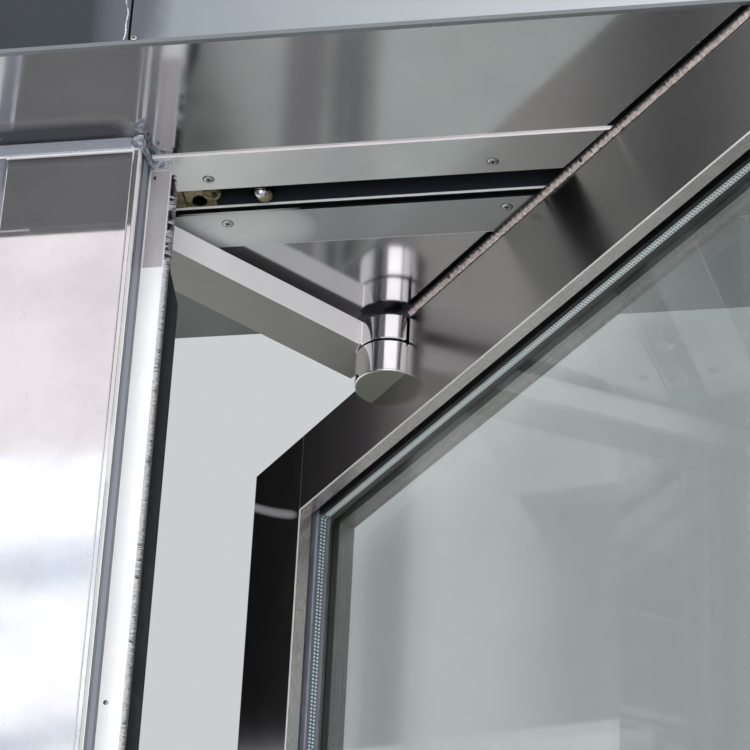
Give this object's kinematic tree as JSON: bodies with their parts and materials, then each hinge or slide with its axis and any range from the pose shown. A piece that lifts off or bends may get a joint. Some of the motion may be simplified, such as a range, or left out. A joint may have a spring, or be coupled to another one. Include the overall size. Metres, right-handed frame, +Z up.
{
  "type": "pair of balanced french doors",
  "caption": "Pair of glazed steel french doors hung on arms and knuckles, guided by rollers in a header track, in a framed opening with threshold.",
  "frame": {"origin": "on the floor under the middle of the threshold, on the centre line of the header track", "axes": "+X along the wall, +Y into the building, +Z up"},
  "size_m": [2.061, 0.7383, 2.52],
  "materials": {
    "brushed_steel_plate": "brushed along the header",
    "polished_steel": "mirror polished",
    "header_cladding": "matt, anodised",
    "trim_steel": "satin",
    "threshold_steel": "satin, worn",
    "white_pile": "woven pile",
    "black_rubber": "matt",
    "channel_aluminium": "mill finish",
    "brass": "dull, oiled",
    "bearing_steel": "machined",
    "arm_steel": "fine satin",
    "shaft_steel": "ground",
    "leaf_steel": "mirror polished",
    "knuckle_chrome": "polished",
    "bead_steel": "satin",
    "clear_glass": "clear float glass",
    "spacer_aluminium": "perforated",
    "black_sealant": "semi matt",
    "beige_pile": "short pile",
    "guide_steel": "machined",
    "pull_steel": "satin"
  },
  "bodies": {
    "frame": {"threshold": "threshold_steel", "left_post": "polished_steel", "right_post": "polished_steel", "post_panels": "polished_steel", "post_beads": "trim_steel", "jamb_strips": "trim_steel", "jamb_brushes": "white_pile", "jamb_fins": "black_rubber", "soffits": "polished_steel", "header_fascias": "header_cladding", "header_ends": "header_cladding", "header_lid": "header_cladding", "track_channel": "channel_aluminium", "cover_plates": "brushed_steel_plate", "stop_blocks": "brass", "stop_buffers": "brass", "top_bearings": "bearing_steel"},
    "left_swing": {"left_arms": "arm_steel", "left_shaft": "shaft_steel"},
    "left_leaf": {"left_hinge_stile": "leaf_steel", "left_latch_stile": "leaf_steel", "left_top_rail": "leaf_steel", "left_bottom_rail": "leaf_steel", "left_knuckles": "knuckle_chrome", "left_glazing_beads": "bead_steel", "left_glass": "clear_glass", "left_spacer": "spacer_aluminium", "left_edge_seal": "black_sealant", "left_leaf_brushes": "beige_pile", "left_guide": "guide_steel", "left_pull": "pull_steel"},
    "right_swing": {"right_arms": "arm_steel", "right_shaft": "shaft_steel"},
    "right_leaf": {"right_hinge_stile": "leaf_steel", "right_latch_stile": "leaf_steel", "right_top_rail": "leaf_steel", "right_bottom_rail": "leaf_steel", "right_knuckles": "knuckle_chrome", "right_glazing_beads": "bead_steel", "right_glass": "clear_glass", "right_spacer": "spacer_aluminium", "right_edge_seal": "black_sealant", "right_leaf_brushes": "beige_pile", "right_guide": "guide_steel", "right_pull": "pull_steel"}
  },
  "joints": [
    {"name": "left_arm_swing", "type": "hinge", "parent": "frame", "child": "left_swing", "pos_m": [-0.9525, 0, 0], "axis": [0, 0, 1], "range_deg": [-50, 29]},
    {"name": "left_leaf_turn", "type": "hinge", "parent": "left_swing", "child": "left_leaf", "pos_m": [-0.74522, 0.20268, 0], "axis": [0, 0, 1], "range_deg": [-58, 100]},
    {"name": "right_arm_swing", "type": "hinge", "parent": "frame", "child": "right_swing", "pos_m": [0.9525, 0, 0], "axis": [0, 0, 1], "range_deg": [-29, 50]},
    {"name": "right_leaf_turn", "type": "hinge", "parent": "right_swing", "child": "right_leaf", "pos_m": [0.74522, 0.20268, 0], "axis": [0, 0, 1], "range_deg": [-100, 58]}
  ],
  "couplings": [
    {"joint": "left_leaf_turn", "follows": "left_arm_swing", "ratio": -2},
    {"joint": "right_leaf_turn", "follows": "right_arm_swing", "ratio": -2}
  ]
}
